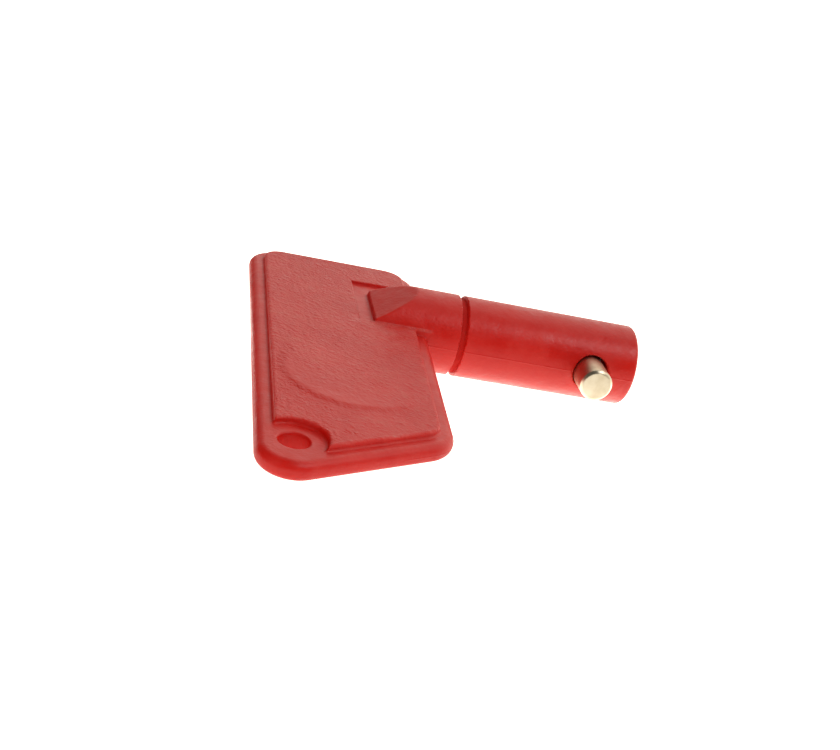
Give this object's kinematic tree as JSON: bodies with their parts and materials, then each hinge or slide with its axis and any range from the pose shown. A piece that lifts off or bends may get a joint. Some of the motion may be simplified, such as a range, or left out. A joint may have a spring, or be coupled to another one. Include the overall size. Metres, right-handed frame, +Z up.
{
  "type": "battery isolator switch key",
  "caption": "Removable lever key for a boat's battery isolator switch: a moulded lever with a ring hole, and a round grooved shank with a brass cross pin that locks it in.",
  "frame": {"origin": "centre of the shank's end face, the end that goes into the switch", "axes": "+X along the shank's axis, out of its end face; +Z up with the key lying on a level surface; the lever's long wing is on the -Y side and its short wing on the +Y side"},
  "size_m": [0.048, 0.0572, 0.01],
  "materials": {
    "red_plastic": "fine matt grain, slightly hazy, satin on the shank",
    "brass": "turned, bright"
  },
  "bodies": {
    "root": {"key_body": "red_plastic", "cross_pin": "brass"}
  },
  "joints": []
}
